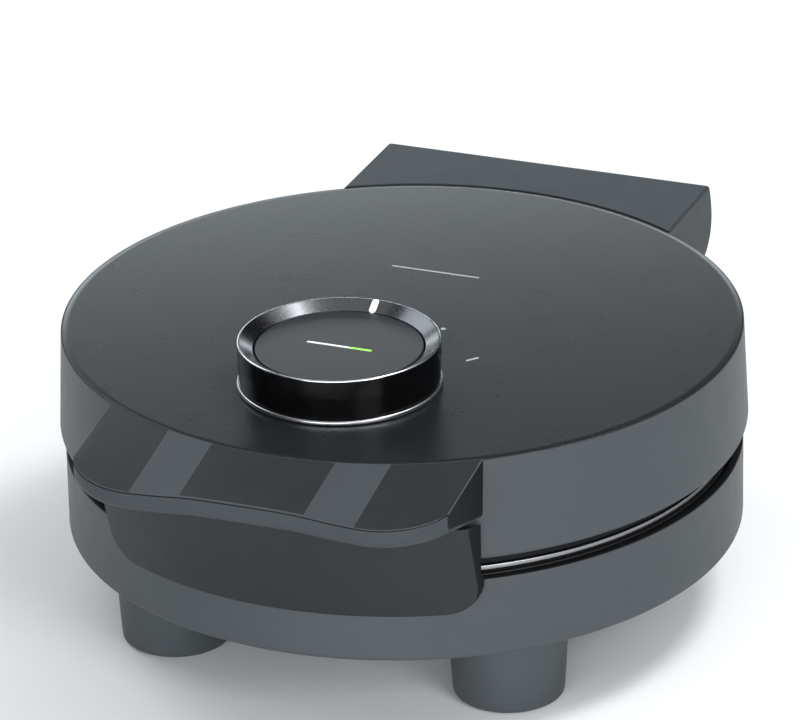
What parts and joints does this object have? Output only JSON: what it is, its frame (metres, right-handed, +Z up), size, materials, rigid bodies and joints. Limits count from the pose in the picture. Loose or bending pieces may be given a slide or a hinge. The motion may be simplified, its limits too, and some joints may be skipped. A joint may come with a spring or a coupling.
{
  "type": "donut maker",
  "caption": "Round table-top ring-cake maker with a hinged lid, moulded baking plates, a turning dial with a light bar and a lift lip, on four feet.",
  "frame": {"origin": "on the table, under the middle of the part's box, which is on the round body's axis within 1.3 mm", "axes": "+Z up, +Y towards the hinge, so the handle faces -Y, +X to the right seen from the handle"},
  "size_m": [0.218, 0.2665, 0.1095],
  "materials": {
    "housing": "satin moulded",
    "top_panel": "satin lacquer",
    "dark_trim": "satin moulded",
    "black_plastic": "matt moulded",
    "gloss_black": "polished",
    "satin_metal": "satin",
    "tin_plate": "mill finish",
    "brass": "machined",
    "non_stick": "non-stick coated casting",
    "rubber": "matt",
    "white_plastic": "satin",
    "green_lens": "translucent",
    "clear_plastic": "clear",
    "circuit_board": "solder mask"
  },
  "bodies": {
    "base": {"base_housing": "housing", "base_grip": "dark_trim", "front_left_foot": "housing", "front_left_foot_pad": "rubber", "front_left_foot_screw": "satin_metal", "front_right_foot": "housing", "front_right_foot_pad": "rubber", "front_right_foot_screw": "satin_metal", "rear_left_foot": "housing", "rear_left_foot_pad": "rubber", "rear_left_foot_screw": "satin_metal", "rear_right_foot": "housing", "rear_right_foot_pad": "rubber", "rear_right_foot_screw": "satin_metal", "lower_plate_frame": "black_plastic", "lower_baking_plate": "non_stick", "lower_heating_element": "satin_metal", "lower_heat_shield": "tin_plate", "lower_plate_screw_1": "satin_metal", "lower_plate_screw_2": "satin_metal", "lower_plate_screw_3": "satin_metal", "hinge_pin": "satin_metal", "cable_gland": "rubber", "terminal_block": "white_plastic"},
    "lid": {"lid_housing": "housing", "lid_top_panel": "top_panel", "handle_inlay_left": "dark_trim", "handle_inlay_centre": "dark_trim", "handle_inlay_right": "dark_trim", "hinge_cover": "housing", "upper_plate_frame": "black_plastic", "upper_baking_plate": "non_stick", "upper_heating_element": "satin_metal", "upper_heat_shield": "tin_plate", "upper_plate_screw_1": "satin_metal", "upper_plate_screw_2": "satin_metal", "upper_plate_screw_3": "satin_metal", "thermostat_body": "black_plastic", "thermostat_nut": "brass", "thermal_fuse": "white_plastic", "indicator_board": "circuit_board", "light_guide": "clear_plastic", "light_bar_white": "white_plastic", "light_bar_green": "green_lens", "dial_base_ring": "satin_metal", "dial_centre_cap": "housing"},
    "dial": {"dial_ring": "gloss_black", "dial_pointer": "white_plastic"},
    "spindle": {"thermostat_spindle": "satin_metal", "spindle_pinion": "brass"}
  },
  "joints": [
    {"name": "lid_hinge", "type": "hinge", "parent": "base", "child": "lid", "pos_m": [0, 0.12, 0.058], "axis": [-1, 0, 0], "range_deg": [0, 100]},
    {"name": "dial_turn", "type": "hinge", "parent": "lid", "child": "dial", "pos_m": [0, -0.052, 0.105], "axis": [0, 0, -1], "range_deg": [0, 50]},
    {"name": "spindle_turn", "type": "hinge", "parent": "lid", "child": "spindle", "pos_m": [0, -0.034, 0.095], "axis": [0, 0, -1], "range_deg": [0, 200]}
  ],
  "couplings": [
    {"joint": "spindle_turn", "follows": "dial_turn", "ratio": 4}
  ]
}
